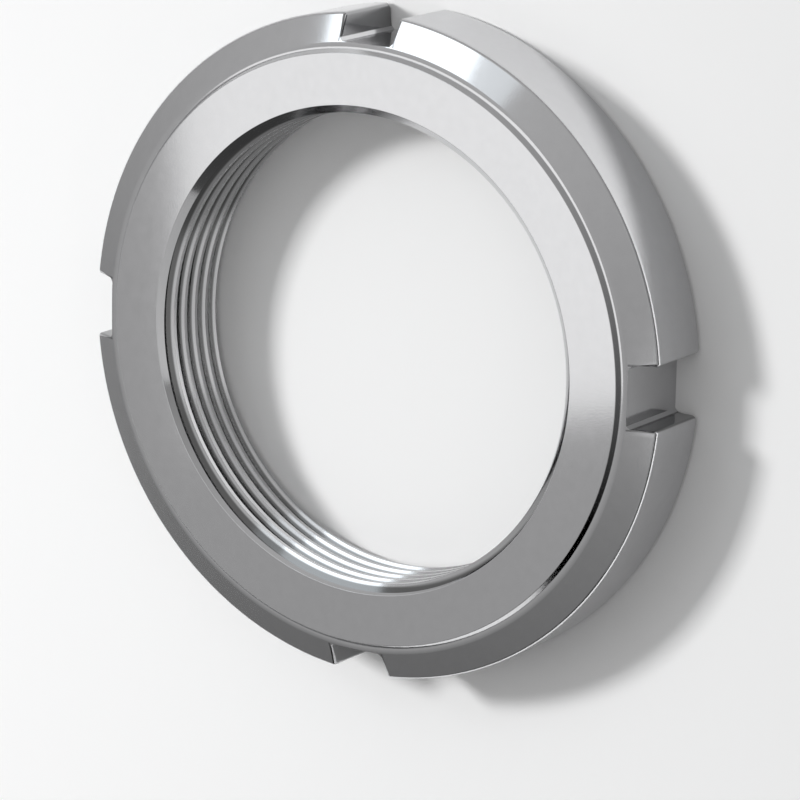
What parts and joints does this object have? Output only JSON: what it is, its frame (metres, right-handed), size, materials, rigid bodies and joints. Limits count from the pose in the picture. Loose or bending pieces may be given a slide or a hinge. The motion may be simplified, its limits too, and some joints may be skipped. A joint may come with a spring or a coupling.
{
  "type": "bearing lock nut",
  "caption": "Round slotted lock nut that screws on a shaft and clamps a bearing's inner ring, with a stepped bearing face and spanner slots in its rim.",
  "frame": {"origin": "centre of the flat back face, on the nut's axis", "axes": "+Z along the axis towards the stepped bearing face; the four slots lie on +X, +Y, -X and -Y"},
  "size_m": [0.0746, 0.0746, 0.011],
  "materials": {
    "steel": "satin"
  },
  "bodies": {
    "root": {"lock_nut": "steel"}
  },
  "joints": []
}
